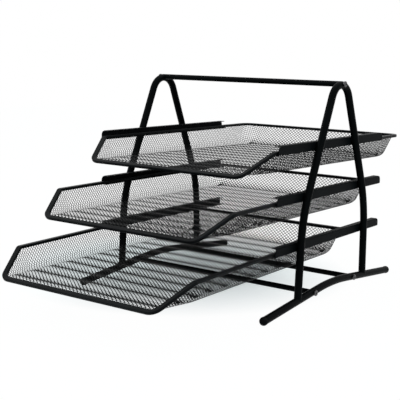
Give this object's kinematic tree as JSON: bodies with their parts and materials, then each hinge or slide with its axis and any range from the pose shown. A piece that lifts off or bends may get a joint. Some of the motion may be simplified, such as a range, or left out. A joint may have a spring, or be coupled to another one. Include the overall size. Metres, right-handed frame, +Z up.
{
  "type": "letter tray",
  "caption": "Free-standing letter tray with mesh trays that slide in open rails on a bent tube frame with a carrying bar.",
  "frame": {"origin": "on the desk, at the middle of the object's footprint in the rest pose", "axes": "+Z up, -Y towards the front, where the trays pull out, +X to the right for someone who faces the front"},
  "size_m": [0.294, 0.5374, 0.2751],
  "materials": {
    "frame_coat": "satin black powder coat",
    "rail_coat": "satin black powder coat",
    "rim_coat": "satin black powder coat",
    "mesh_coat": "satin black powder coat over expanded steel mesh",
    "foot_plastic": "matte black",
    "screw_steel": "satin"
  },
  "bodies": {
    "frame": {"left_leg_hoop": "frame_coat", "left_foot_bar": "frame_coat", "right_leg_hoop": "frame_coat", "right_foot_bar": "frame_coat", "front_left_foot_cap": "foot_plastic", "front_right_foot_cap": "foot_plastic", "rear_left_foot_cap": "foot_plastic", "rear_right_foot_cap": "foot_plastic", "handle_bar": "frame_coat", "front_cross_bar": "frame_coat", "rear_cross_bar": "frame_coat", "handle_screws": "screw_steel", "cross_bar_screws": "screw_steel", "top_left_rail": "rail_coat", "top_right_rail": "rail_coat", "middle_left_rail": "rail_coat", "middle_right_rail": "rail_coat", "bottom_left_rail": "rail_coat", "bottom_right_rail": "rail_coat"},
    "top_tray": {"top_tray_rim": "rim_coat", "top_tray_pan": "mesh_coat"},
    "middle_tray": {"middle_tray_rim": "rim_coat", "middle_tray_pan": "mesh_coat"},
    "bottom_tray": {"bottom_tray_rim": "rim_coat", "bottom_tray_pan": "mesh_coat"}
  },
  "joints": [
    {"name": "top_tray_slide", "type": "slide", "parent": "frame", "child": "top_tray", "axis": [0, -1, 0], "range_m": [0, 0.2]},
    {"name": "middle_tray_slide", "type": "slide", "parent": "frame", "child": "middle_tray", "axis": [0, -1, -0.0085], "range_m": [-0.0822, 0.1178]},
    {"name": "bottom_tray_slide", "type": "slide", "parent": "frame", "child": "bottom_tray", "axis": [0, -0.9998, -0.0185], "range_m": [-0.1505, 0.0495]}
  ]
}
